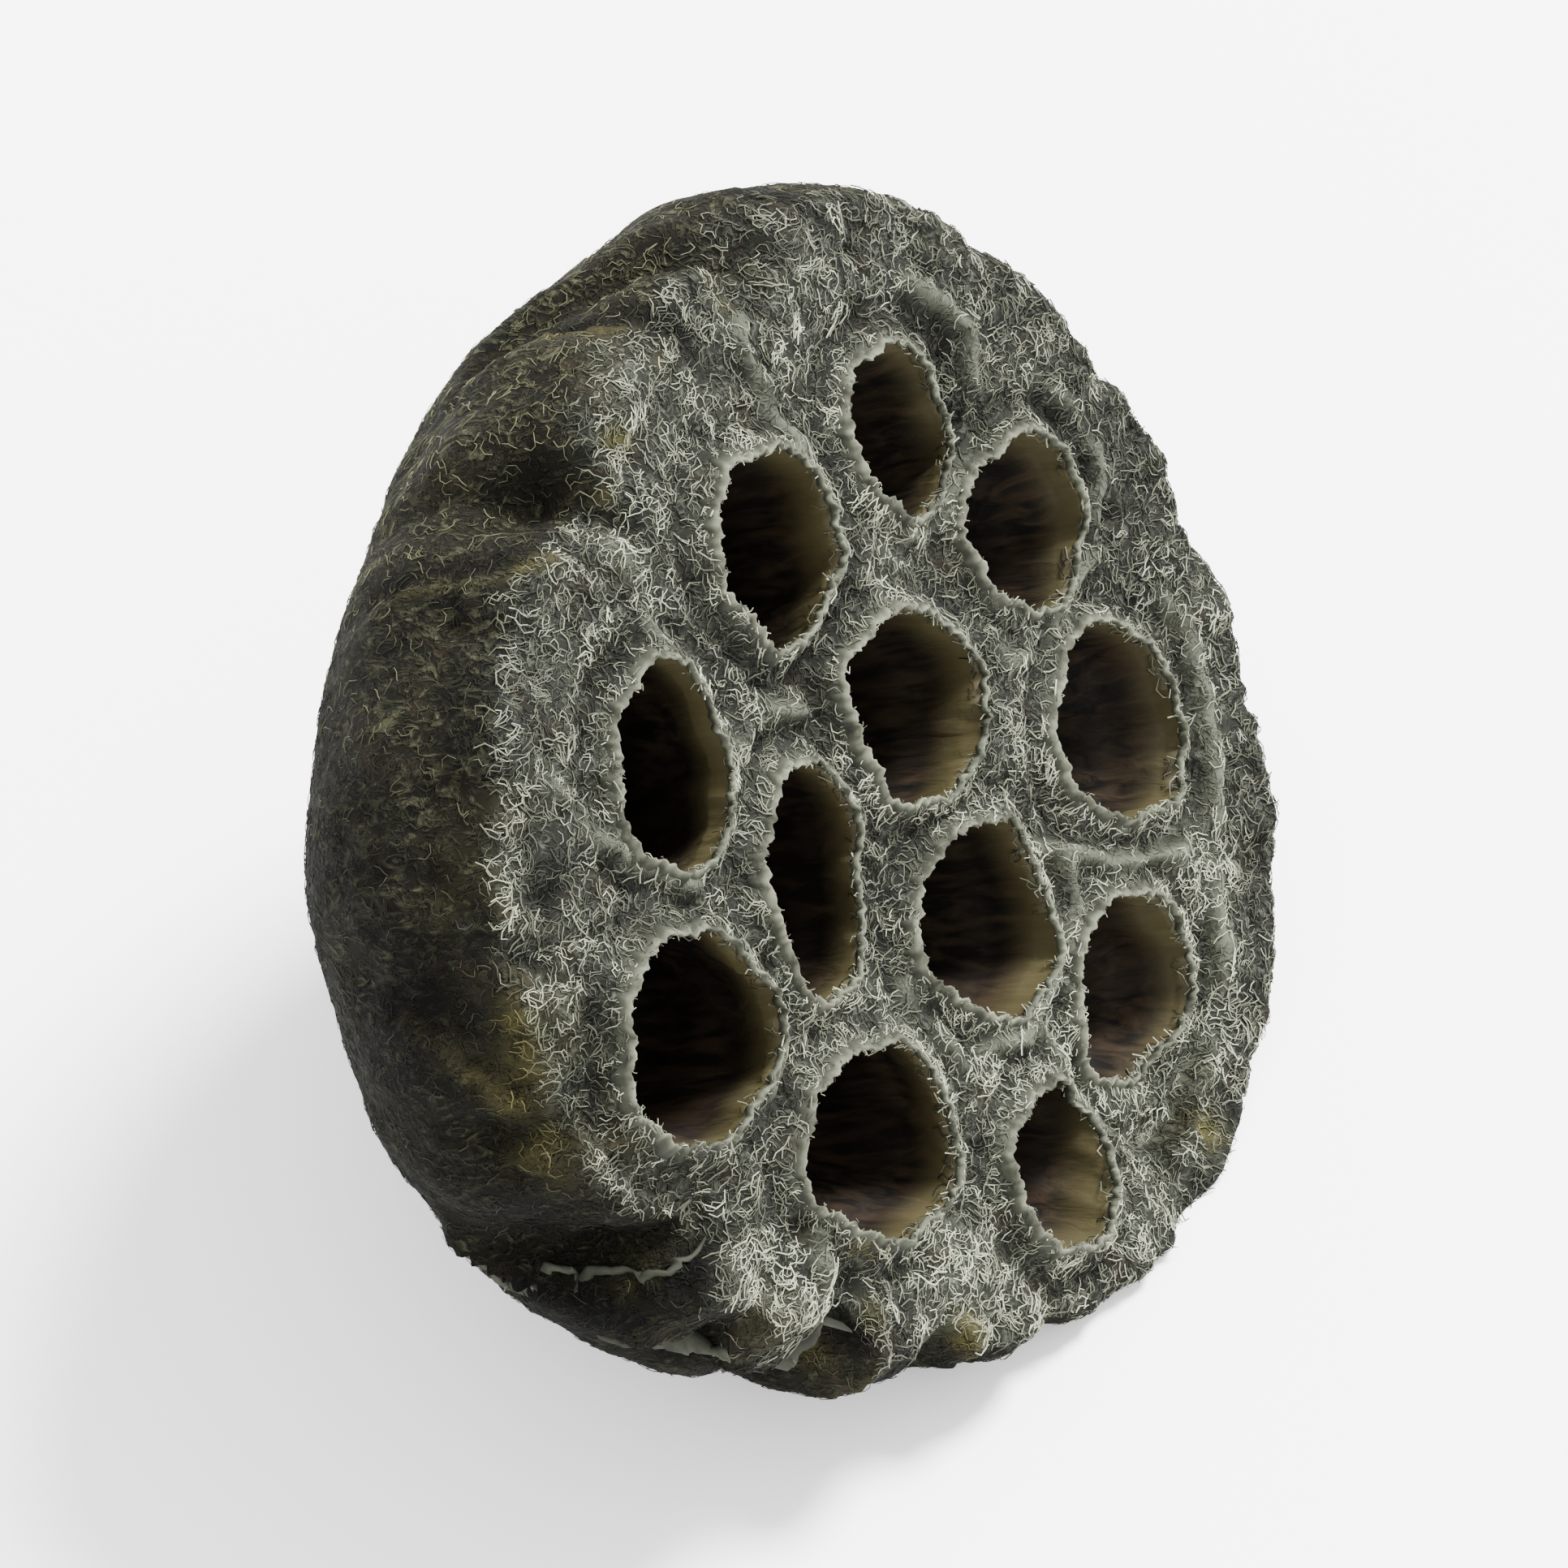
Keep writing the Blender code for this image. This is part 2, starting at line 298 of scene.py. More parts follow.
def creased(points):
    """How far the creases and pits lift or sink a place, its crests and its hollows, which get painted
    shade.
    """
    lift, crest, hollow = (np.zeros(points.shape[:-1]) for _ in range(3))
    for fall, width, height, drop, places in CREASES:
        near, offset = from_crest(points, places)
        beyond = offset @ (np.array(fall) / np.linalg.norm(fall))
        below = np.exp(-(((beyond - 1.3) / 0.9) ** 2)) * np.exp(-((near / 2.4) ** 2))
        steep = np.exp(-((near / (width * 0.45)) ** 2))
        slow = np.exp(-((near / (width * 1.7)) ** 2))
        before = np.where(beyond > 0, steep, slow)
        lift = np.maximum(lift, height * before) - drop * below
        crest = np.maximum(crest, np.exp(-((near / 0.55) ** 2)))
        hollow = np.maximum(hollow, below * min(1, drop / 1.2))
    for place, size, deep in PITS:
        hole = np.exp(-((np.linalg.norm(points - np.array(place), axis=-1) / size) ** 2))
        lift = lift - deep * hole
        hollow = np.maximum(hollow, hole)
    return lift, crest, hollow


def fold_pull(degrees, depth):
    """How far the folds pull the wall in at an angle and a depth."""
    pull = np.zeros(np.broadcast(degrees, depth).shape)
    for middle, drift, one_side, other_side, deep in FOLDS:
        away = (degrees - middle - drift * np.clip(depth, 0, 14) + 180) % 360 - 180
        width = np.where(away < 0, one_side, other_side)
        pull += deep * np.exp(-np.abs(away / width) ** 1.7)
    return pull


# The rings: how far from the axis and how deep each one starts.
ring_radius = list(FACE_RADIUS * 0.955 * np.linspace(0.012, 1, 86))
ring_depth = [0.0] * 86
for turn in np.radians(np.linspace(8, 90, 12)):
    ring_radius.append(FACE_RADIUS * 0.955 + (BOWL_RADIUS - FACE_RADIUS * 0.955) * math.sin(turn))
    ring_depth.append(BOWL_START * (1 - math.cos(turn)))
for share in np.linspace(0.02, 0.94, 54):
    ring_radius.append(BOWL_RADIUS * (1 - share**2.1) ** 0.8)
    ring_depth.append(BOWL_START + share * BOWL_DEPTH)
neck_radius, neck_depth = ring_radius[-1], ring_depth[-1]
for share in (0.25, 0.5, 0.75, 1.0):
    ring_radius.append(neck_radius + (STEM_RADIUS - neck_radius) * math.sin(share * math.pi / 2))
    ring_depth.append(neck_depth + 1.2 * share)
for depth in (34.2, 35.2, 36.2, 36.9):
    ring_radius.append(STEM_RADIUS)
    ring_depth.append(depth)
for share in (0.93, 0.8, 0.6, 0.4, 0.2, 0.05):
    ring_radius.append(STEM_RADIUS * share)
    ring_depth.append(STEM_END - 0.2 * (1 - share))
base_radius = np.array(ring_radius)[:, None]
base_depth = np.array(ring_depth)[:, None]
angle = (np.arange(AROUND) / AROUND * 2 * math.pi)[None, :]
degrees = np.degrees(angle)
share = base_radius / FACE_RADIUS
on_face = base_depth < 0.01

# Outline, folds and bulge, as in the solid, with finer teeth along the rim.
wider = 1.2 * np.cos(3 * angle - math.radians(141))
radius = base_radius + wider * smooth_step(0.1, 1.0, share)
held = np.where(on_face, smooth_step(0.62, 1.0, share), 1 - smooth_step(1.0, 18.0, base_depth))
folds = fold_pull(degrees, base_depth)
radius = radius - folds * held * np.minimum(share, 1)
in_bowl = np.clip((base_depth - BOWL_START) / BOWL_DEPTH, 0, 1)
bulge = np.maximum(0, np.cos(angle - math.radians(150))) * np.sin(math.pi * in_bowl**0.7)
radius = radius + 1.7 * bulge * (base_depth > BOWL_START)
rim_zone = smooth_step(0.8, 1.0, share) * (1 - smooth_step(3, 9, base_depth))
ring_place = np.stack(np.broadcast_arrays(np.cos(angle) * 35, np.sin(angle) * 35, base_depth * 0.4), -1)
radius = radius + rim_zone * (0.22 * noise_at(ring_place, 2.6) + 0.3 * noise_at(ring_place + 70, 1.1))
x, y = radius * np.cos(angle), radius * np.sin(angle)
z = -base_depth * np.ones_like(angle)

# The flank's wrinkles run down it, broad ones with finer ones on them.
place = np.stack((x, y, z * 0.45), -1)
below_rim = smooth_step(2.0, 7.0, base_depth) * smooth_step(0.12, 0.5, share)
wrinkle = 0.75 * noise_at(place, 8.0) + 0.34 * noise_at(place + 40, 3.4)
wrinkle += 0.16 * (1 - 2 * np.abs(noise_at(place + 90, 1.5)))
swell = 1 + wrinkle * below_rim / np.maximum(radius, 1)
x, y = x * swell, y * swell

# The face: soft hills, fine puckers, veins, and a lip round every cell.
def puckers(place):
    """The face's small swellings, from about -1 to 1."""
    return 0.55 * noise_at(place + 20, 4.2) + 0.4 * (1 - 2 * np.abs(noise_at(place + 60, 2.0)))


flat_place = np.stack((x, y, np.full_like(x, 0.3)), -1)
hills = noise_at(flat_place, 1000 / 75) * 1.5 * (1 - smooth_step(0.8, 1.0, share))
pucker = 0.8 * puckers(flat_place) + 0.10 * noise_at(flat_place + 80, 0.8)
spokes = np.stack(np.broadcast_arrays(np.cos(angle) * 30, np.sin(angle) * 30, share * 4), -1)
near_edge = smooth_step(0.72, 0.95, share)
pucker += near_edge * (0.40 * noise_at(spokes + 30, 2.4) + 0.22 * noise_at(spokes, 1.1))
off_cell = outside_cells(x, y)
off_vein = from_veins(x + 0.6 * noise_at(flat_place, 2.5), y + 0.6 * noise_at(flat_place + 50, 2.5))
lip = np.exp(-(np.maximum(off_cell, 0) / 0.75) ** 2)
lip_height = 0.75 + 0.35 * noise_at(flat_place + 10, 3.0)
moat = np.exp(-(((off_cell - 1.9) / 0.8) ** 2))
vein = np.exp(-((off_vein / 0.6) ** 2)) * (1 - lip) * (1 - smooth_step(0.84, 0.95, share))
vein = vein * smooth_step(-0.5, 0.2, noise_at(flat_place + 110, 4.5))
rise = 0.3 * (1 - share**2) + hills + pucker * (1 - 0.6 * lip)
rise = rise + lip_height * lip - 0.4 * moat + 0.95 * vein
droop = 1.3 * smooth_step(0.74, 1.0, share) * np.cos(angle - math.radians(130))
notch = 0.55 * folds * smooth_step(0.78, 1.0, share)
to_face = np.where(on_face, 1.0, 1 - smooth_step(0.0, 2.5, base_depth))
z = z + rise * to_face - (droop + notch) * (1 - smooth_step(0.5, 13.0, base_depth))

# Creases lift the flank outwards and the rim upwards.
lift, _, _ = creased(np.stack((x, y, z), -1))
lift = lift * (1 - 0.8 * np.exp(-((np.maximum(off_cell, 0) / 1.5) ** 2)) * on_face)
outwards = smooth_step(-0.5, 2.5, base_depth)
reach = 1 + lift * outwards / np.maximum(np.hypot(x, y), 1)
x, y, z = x * reach, y * reach, z + lift * (1 - outwards)

# The side that it lies on: flatter, with three low swellings that meet the table.
SWELLINGS = ((1.5, -13.0), (-8.0, 17.5), (8.0, 18.0))
slope_y, slope_z = math.cos(AXIS_RISE), math.sin(AXIS_RISE)
out = -(y * slope_y + z * slope_z)
along = y * slope_z - z * slope_y
flattened = np.minimum(out, 28.0) + 0.08 * np.maximum(0, out - 28.0)
for across_place, along_place in SWELLINGS:
    gap = np.hypot(x - across_place, along - along_place) / 5.5
    flattened = flattened + 3.0 * np.exp(-(gap**2))
flattened = np.minimum(flattened, 28.97)
moved = np.where(out > 28.0 * 0.6, out - flattened, 0)
y, z = y + moved * slope_y, z + moved * slope_z


def closed_rings(name, x, y, z):
    """A closed mesh of rings, with a point at each end."""
    count, steps = x.shape
    points = np.stack((x, y, z), -1).reshape(-1, 3)
    ends = np.array([points[:steps].mean(0), points[-steps:].mean(0)])
    points = np.concatenate((points, ends))
    faces = []
    for ring in range(count - 1):
        for step in range(steps):
            after = (step + 1) % steps
            low, high = ring * steps, (ring + 1) * steps
            faces.append((low + step, high + step, high + after, low + after))
    first, last = count * steps, count * steps + 1
    for step in range(steps):
        after = (step + 1) % steps
        faces.append((first, step, after))
        faces.append((last, (count - 1) * steps + after, (count - 1) * steps + step))
    mesh = bpy.data.meshes.new(name)
    mesh.from_pydata((points * MM).tolist(), [], faces)
    mesh.update()
    made = bpy.data.objects.new(name, mesh)
    bpy.context.scene.collection.objects.link(made)
    return made


def add(tree, kind, inputs=None, **settings):
    """Adds a node; an input is either a value or the socket that feeds it."""
    made = tree.nodes.new(kind)
    for name, value in settings.items():
        setattr(made, name, value)
    for name, value in (inputs or {}).items():
        if isinstance(value, bpy.types.NodeSocket):
            tree.links.new(value, made.inputs[name])
        else:
            made.inputs[name].default_value = value
    return made


def hex_colour(code):
    """An sRGB hex value as a linear colour."""
    parts = [int(code[i : i + 2], 16) / 255 for i in (1, 3, 5)]
    linear = [c / 12.92 if c <= 0.04045 else ((c + 0.055) / 1.055) ** 2.4 for c in parts]
    return (*linear, 1.0)


def mixed(tree, share, first, second):
    """The second colour laid over the first by a share."""
    made = add(tree, "ShaderNodeMix", {"Factor": share, 6: first, 7: second}, data_type="RGBA")
    return made.outputs[2]


def carried(tree, name):
    """A value that the mesh carries at each of its points."""
    return add(tree, "ShaderNodeAttribute", attribute_name=name).outputs["Fac"]


def ranged(tree, value, given, wanted=(0, 1)):
    """A value taken from one range to another and held inside it."""
    ends = dict(zip(("From Min", "From Max", "To Min", "To Max"), (*given, *wanted)))
    return add(tree, "ShaderNodeMapRange", {"Value": value, **ends}).outputs["Result"]


def two_tone(tree, value, dark, light):
    """A colour between two, each given with the value at which it is reached."""
    made = add(tree, "ShaderNodeValToRGB", {"Fac": value})
    for stop, (position, code) in zip(made.color_ramp.elements, (dark, light)):
        stop.position = position
        stop.color = hex_colour(code)
    return made.outputs[0]


def reckoned(tree, operation, first, second):
    """The result of one sum on two values."""
    return add(tree, "ShaderNodeMath", {0: first, 1: second}, operation=operation).outputs[0]


def lumps(tree, coords, scale, detail, distortion=0.0, roughness=0.5):
    """Lumpy grey noise; the scale is in lumps for each metre."""
    sizes = {"Scale": scale, "Detail": detail, "Distortion": distortion, "Roughness": roughness}
    return add(tree, "ShaderNodeTexNoise", {"Vector": coords, **sizes}).outputs["Fac"]


pod = closed_rings("lotus_pod_skin", x, y, z)

# Skin: dried epidermis under grey felt. It is dull all over, olive on the flank, greyer on the face,
# painted near black as shade in the folds and hollows, and straw-coloured on folds' crests.
skin = bpy.data.materials.new("dried_felted_skin")
skin.use_nodes = True
tree = skin.node_tree
shader = tree.nodes["Principled BSDF"]
shader.inputs["Roughness"].default_value = 0.95
shader.inputs["Specular IOR Level"].default_value = 0.06
coords = add(tree, "ShaderNodeTexCoord").outputs["Object"]


def strands(tree, coords, lump, bands, thin):
    """Thin wavy lines, as matted fibres leave them: the level lines of a smooth noise."""
    heights = lumps(tree, coords, lump, 1.5, 0.7)
    stepped = reckoned(tree, "MULTIPLY", heights, bands)
    folded = reckoned(tree, "PINGPONG", stepped, 0.5)
    return ranged(tree, folded, (0, thin), (1, 0))


def drawn_out(tree, coords, share):
    """Places turned back to the pod's own axis and pressed along it, to draw a pattern out."""
    turned = {"Vector": coords, "Angle": AXIS_RISE - math.pi / 2}
    upright = add(tree, "ShaderNodeVectorRotate", turned, rotation_type="X_AXIS").outputs[0]
    pressed = {0: upright, 1: (1, 1, share)}
    return add(tree, "ShaderNodeVectorMath", pressed, operation="MULTIPLY").outputs[0]


def bumped(tree, height, strength, distance, under=None):
    """A bump by a grey value, over the one before it."""
    inputs = {"Height": height, "Strength": strength, "Distance": distance}
    if under:
        inputs["Normal"] = under
    return add(tree, "ShaderNodeBump", inputs).outputs[0]


coarse = strands(tree, coords, 330, 13, 0.2)
fine = strands(tree, coords, 620, 9, 0.26)
both = reckoned(tree, "MAXIMUM", coarse, fine)
broken = lumps(tree, coords, 900, 2)
broken = ranged(tree, broken, (0.4, 0.58))
hair_line = reckoned(tree, "MULTIPLY", both, broken)
patches = lumps(tree, coords, 160, 5, roughness=0.6)
blots = lumps(tree, coords, 420, 4)
# Fine wrinkles run down the flank, about 0.5 mm apart and some millimetres long.
drawn = drawn_out(tree, coords, 0.45)
streaks = lumps(tree, drawn, 1000, 4, 2.2)
streak_light = ranged(tree, streaks, (0.47, 0.66), (0, 1.0))
face_tint = two_tone(tree, patches, (0.36, "#0d0e0c"), (0.66, "#1d1e1a"))
flank_tint = two_tone(tree, patches, (0.36, "#050504"), (0.7, "#11110c"))
on_flank = carried(tree, "on_flank")
by_lip = carried(tree, "by_lip")
sunk = carried(tree, "sunk")
crest = carried(tree, "crest")
tint = mixed(tree, on_flank, face_tint, flank_tint)
brown = ranged(tree, blots, (0.55, 0.7), (0, 0.6))
tint = mixed(tree, brown, tint, hex_colour("#1c1610"))
on_streak = reckoned(tree, "MULTIPLY", streak_light, on_flank)
tint = mixed(tree, on_streak, tint, hex_colour("#2c2c20"))
hair_share = reckoned(tree, "MULTIPLY", hair_line, 0.5)
hair_tint = mixed(tree, on_flank, hex_colour("#4a4d44"), hex_colour("#23221a"))
tint = mixed(tree, hair_share, tint, hair_tint)
tint = mixed(tree, crest, tint, hex_colour("#3b3720"))
tint = mixed(tree, by_lip, tint, hex_colour("#42453b"))
# Painted shade: near black in the folds and hollows.
tint = mixed(tree, sunk, tint, hex_colour("#0b0a08"))
straw_here = carried(tree, "straw")
tint = mixed(tree, straw_here, tint, hex_colour("#38351d"))
# Painted light and shade, with tone that differs at random, scale the skin's colour.
tone_and_painted_light_scale = carried(tree, "tone")
tone_and_painted_light_scale = ranged(tree, tone_and_painted_light_scale, (-0.8, 0.8), (0.35, 1.7))
tint = add(tree, "ShaderNodeVectorMath", {0: tint, "Scale": tone_and_painted_light_scale}, operation="SCALE").outputs[0]
tree.links.new(tint, shader.inputs["Base Color"])
bump = bumped(tree, hair_line, 0.9, 0.00015)
bump = bumped(tree, on_streak, 1.0, 0.0004, bump)
bump = bumped(tree, blots, 0.6, 0.0004, bump)
tree.links.new(bump, shader.inputs["Normal"])

# The seed cells: smooth pockets that shrank away from the seeds, lined with a thin brown
# membrane. They are cut out of the body, so the lining shares its edges with the skin.
CELL_SECTION = ((0.0, 1.0), (0.02, 1.0), (0.22, 1.06), (0.5, 1.0), (0.76, 0.82), (0.93, 0.5), (1.0, 0.04))
CELL_AROUND = 90
CELL_DEPTH = 16.0
CELL_SHALLOWER = 0.5
# The cells' axes all point to one place this far below the face.
CELL_AIM = 62
RIM_AWAY = 35.2

lining = bpy.data.materials.new("cell_membrane")
lining.use_nodes = True
tree = lining.node_tree
shader = tree.nodes["Principled BSDF"]
shader.inputs["Roughness"].default_value = 0.6
shader.inputs["Specular IOR Level"].default_value = 0.2
coords = add(tree, "ShaderNodeTexCoord").outputs["Object"]
# Fibres under the membrane run down the cell, about 0.6 mm apart.
stretched = drawn_out(tree, coords, 0.16)
threads = lumps(tree, stretched, 1300, 4, 0.6)
stains = lumps(tree, coords, 240, 3)
down = carried(tree, "down_cell")
wall = two_tone(tree, threads, (0.4, "#080604"), (0.64, "#281f15"))
stain = ranged(tree, stains, (0.42, 0.66), (0, 0.7))
tint = mixed(tree, stain, wall, hex_colour("#100a06"))
# Painted shade: the lining is lighter olive by the mouth and darker further down the cell.
tint = mixed(tree, down, hex_colour("#37321e"), tint)
tree.links.new(tint, shader.inputs["Base Color"])
bump = bumped(tree, threads, 0.5, 0.0003)
tree.links.new(bump, shader.inputs["Normal"])

cutters = bpy.data.collections.new("cell_cutters")
bpy.context.scene.collection.children.link(cutters)
for number, (cell_x, cell_y, _, _) in enumerate(CELLS):
    far_out = math.hypot(cell_x, cell_y) / RIM_AWAY
    deep = CELL_DEPTH - CELL_SHALLOWER * far_out
    levels = np.concatenate(([-5.0, -2.5, -1.2], deep * np.linspace(0, 1, 30) ** 1.15))
    sunk_share, kept_share = zip(*CELL_SECTION)
    kept = np.interp(np.clip(levels / deep, 0, 1), sunk_share, kept_share)
    lower = levels > deep * 0.5
    rounding = ((levels[lower] / deep - 0.5) / 0.5) ** 2.4
    kept[lower] = np.sqrt(np.clip(1 - rounding, 0.002, 1))
    turn = (np.arange(CELL_AROUND) / CELL_AROUND * 2 * math.pi)[None, :]
    edge = cell_outline(number, turn, 1.0)
    smooth_edge = cell_outline(number, turn, 0.0)
    frayed = np.exp(-np.clip(levels, 0, 99) / 0.8)[:, None]
    size = (edge * frayed + smooth_edge * (1 - frayed)) * kept[:, None]
    wall_place = np.stack(
        np.broadcast_arrays(np.cos(turn) * 5 + number * 9, np.sin(turn) * 5, levels[:, None] * 0.12), -1
    )
    uneven = 0.16 * noise_at(wall_place, 1.1) + 0.3 * noise_at(wall_place, 3.0)
    size = size + uneven * kept[:, None] * (1 - frayed)
    lean = 1 - np.clip(levels, 0, 99)[:, None] / CELL_AIM
    top = noise.noise(Vector((cell_x, cell_y, 0.3)) * 0.075) * 1.5
    cutter = closed_rings(
        f"cell_{number}",
        cell_x * lean + size * np.cos(turn),
        cell_y * lean + size * np.sin(turn),
        top - levels[:, None] + 0 * turn,
    )
    bpy.context.scene.collection.objects.unlink(cutter)
    cutters.objects.link(cutter)

# The stem's cut end: seven air canals round a small middle one, as in every lotus stem.
# They are cut out of the stub with the cells.
CANAL_RING = 2.75
CANALS = [(0.0, 0.0, 0.55)] + [
    (CANAL_RING * math.cos(turn), CANAL_RING * math.sin(turn), 0.85 if number % 2 else 0.7)
    for number, turn in enumerate(np.linspace(0.3, 0.3 + 2 * math.pi, 8)[:-1])
]
for number, (canal_x, canal_y, canal_radius) in enumerate(CANALS):
    levels = np.array([32.6, 33.2, 35.0, 38.5])[::-1]
    turn = (np.arange(20) / 20 * 2 * math.pi)[None, :]
    size = canal_radius * np.array([1.0, 1.0, 0.95, 0.3])[:, None]
    size = size * (1 + 0.08 * np.cos(2 * turn + number))
    cutter = closed_rings(
        f"canal_{number}",
        canal_x + size * np.cos(turn),
        canal_y + size * np.sin(turn),
        -levels[:, None] + 0 * turn,
    )
    bpy.context.scene.collection.objects.unlink(cutter)
    cutters.objects.link(cutter)

pod.data.materials.append(skin)
pod.data.materials.append(lining)
for cutter in cutters.objects:
    cutter.data.materials.append(skin)
    cutter.data.materials.append(lining)
    cutter.data.polygons.foreach_set("material_index", [1] * len(cutter.data.polygons))
    repaired = bmesh.new()
    repaired.from_mesh(cutter.data)
    bmesh.ops.recalc_face_normals(repaired, faces=repaired.faces)
    repaired.to_mesh(cutter.data)
    repaired.free()
repaired = bmesh.new()
repaired.from_mesh(pod.data)
bmesh.ops.recalc_face_normals(repaired, faces=repaired.faces)
repaired.to_mesh(pod.data)
repaired.free()
cut = pod.modifiers.new("cells", "BOOLEAN")
cut.operation = "DIFFERENCE"
cut.operand_type = "COLLECTION"
cut.collection = cutters
cut.solver = "MANIFOLD"
bpy.context.view_layer.update()
evaluated = pod.evaluated_get(bpy.context.evaluated_depsgraph_get())
opened = bpy.data.meshes.new_from_object(evaluated)
pod.modifiers.clear()
pod.data = opened
for cutter in list(cutters.objects):
    bpy.data.objects.remove(cutter)
bpy.data.collections.remove(cutters)

# What the materials and the felt need to know of each place on the finished body.
points = np.empty(len(opened.vertices) * 3)
opened.vertices.foreach_get("co", points)
points = points.reshape(-1, 3) / MM
px, py, pz = points.T
normals = np.empty(len(opened.vertices) * 3)
opened.vertices.foreach_get("normal", normals)
normals = normals.reshape(-1, 3)
span, turn = np.hypot(px, py), np.degrees(np.arctan2(py, px)) % 360
off_cell, off_vein = outside_cells(px, py), from_veins(px, py)
in_skin = np.zeros(len(px), bool)
for polygon in opened.polygons:
    if polygon.material_index == 0:
        in_skin[list(polygon.vertices)] = True
fold_here = fold_pull(turn, -pz)
side = smooth_step(0.15, 0.75, 1 - normals[:, 2])
side = np.maximum(side, smooth_step(1.5, 4.5, -pz) * in_skin)
in_fold = np.clip(fold_here / 3.0, 0, 1) * smooth_step(0.8, 1.0, span / FACE_RADIUS)
in_fold = in_fold * (1 - smooth_step(6, 16, -pz))
lump = noise_at(points + 5, 3.0)
_, on_crest, in_hollow = creased(points)
straw = np.zeros(len(points))
for place, size in STRAW:
    straw = np.maximum(straw, np.exp(-((np.linalg.norm(points - np.array(place), axis=1) / size) ** 2)))
straw = straw * np.clip(0.75 + 0.9 * noise_at(points + 61, 0.9), 0, 1)
lip_band = np.exp(-((np.maximum(off_cell, 0) / 0.7) ** 2)) * (pz > -3)
vein_band = np.exp(-((off_vein / 0.55) ** 2)) * (pz > -3) * (1 - smooth_step(29.5, 33.0, span))
on_plan = np.stack((px, py, np.full_like(px, 0.3)), -1)
vein_band = vein_band * smooth_step(-0.5, 0.2, noise_at(on_plan + 110, 4.5))
# Painted light and shade, over tone that differs at random: puckers, lips, veins, crests and the
# flank's upper side are painted lighter, as if they catch the light; hollows, the rings round the cells
# and the left are painted darker, as if in shade, and the face is painted darker at its right and lighter
# lower down.
tone = 0.4 * puckers(on_plan) * (1 - side) + 0.35 * noise_at(points + 33, 6.5)
tone += 0.2 * lip_band + 0.3 * vein_band + 0.2 * on_crest - 0.9 * in_hollow
tone += 0.62 * side * smooth_step(0.45, 1.0, np.cos(np.radians(turn - 88)))
tone -= 0.42 * side * smooth_step(0.2, 0.9, np.cos(np.radians(turn - 175)))
tone += 0.1 * (1 - side) * smooth_step(8, 30, -0.7 * px - 0.7 * py)
tone += (1 - side) * (0.08 + 0.2 * smooth_step(4, -16, py) - 0.3 * smooth_step(30, 34, span) * (py < 0))
tone -= 0.2 * (1 - side) * smooth_step(10, 28, px)
tone -= 0.35 * np.exp(-(((off_cell - 1.8) / 0.8) ** 2)) * (pz > -3)
near_rim = np.exp(-(((span - 34.0) / 2.6) ** 2)) * (pz > -6)
left_rim = np.clip(near_rim * (0.1 + 0.7 * lump) * (1 - 2 * in_fold), 0, 0.4)
left_rim = left_rim * smooth_step(0.7, 1.0, np.cos(np.radians(turn - 172)))
facts = {
    "on_flank": side,
    "by_lip": np.exp(-((np.maximum(off_cell, 0) / 0.45) ** 2)) * in_skin * (pz > -4) * 0.6
    + vein_band * 0.75,
    # Painted shade: how near black the folds and hollows are painted.
    "sunk": np.clip(in_fold * 0.4 + in_hollow * 0.9, 0, 0.95),
    "tone": np.clip(tone, -1, 1),
    "straw": straw,
    "crest": np.maximum(left_rim, on_crest * np.clip(0.45 + 0.8 * lump, 0, 1) * 0.8),
    "down_cell": smooth_step(-0.5, 3.2, -pz),
    "face_felt": np.clip((1 - side) * in_skin, 0, 1) * (pz > -6) * (1 - 0.8 * vein_band),
    "flank_felt": np.clip(side, 0, 1) * in_skin * (pz > -33) * (-(py * slope_y + pz * slope_z) < 27.0),
}
for name, values in facts.items():
    opened.attributes.new(name, "FLOAT", "POINT").data.foreach_set("value", values.astype(np.float32))
opened.shade_smooth()


def place_pod(mesh):
    """Lays a mesh down from the pod's own upright coordinates onto the table, which stops it."""
    mesh.transform(POD_TURN.to_4x4())
    mesh.transform(Matrix.Translation(POD_PLACE * MM))
    places = np.empty(len(mesh.vertices) * 3)
    mesh.vertices.foreach_get("co", places)
    places[2::3] = np.maximum(places[2::3], 0)
    mesh.vertices.foreach_set("co", places)


# The lips: the skin tore open over each seed and its edge dried as a thin pale ragged
# collar, a few tenths of a millimetre high, that follows the mouth and frays into it.
LIP_STEPS = 300
LIP_SECTION = (
    (0.6, -0.5, 0.0), (0.28, 0.02, 0.25), (0.1, 0.08, 0.9), (-0.02, 0.06, 1.0),
    (-0.08, -0.2, 0.3), (0.35, -0.7, 0.0), (0.6, -0.8, 0.0),
)

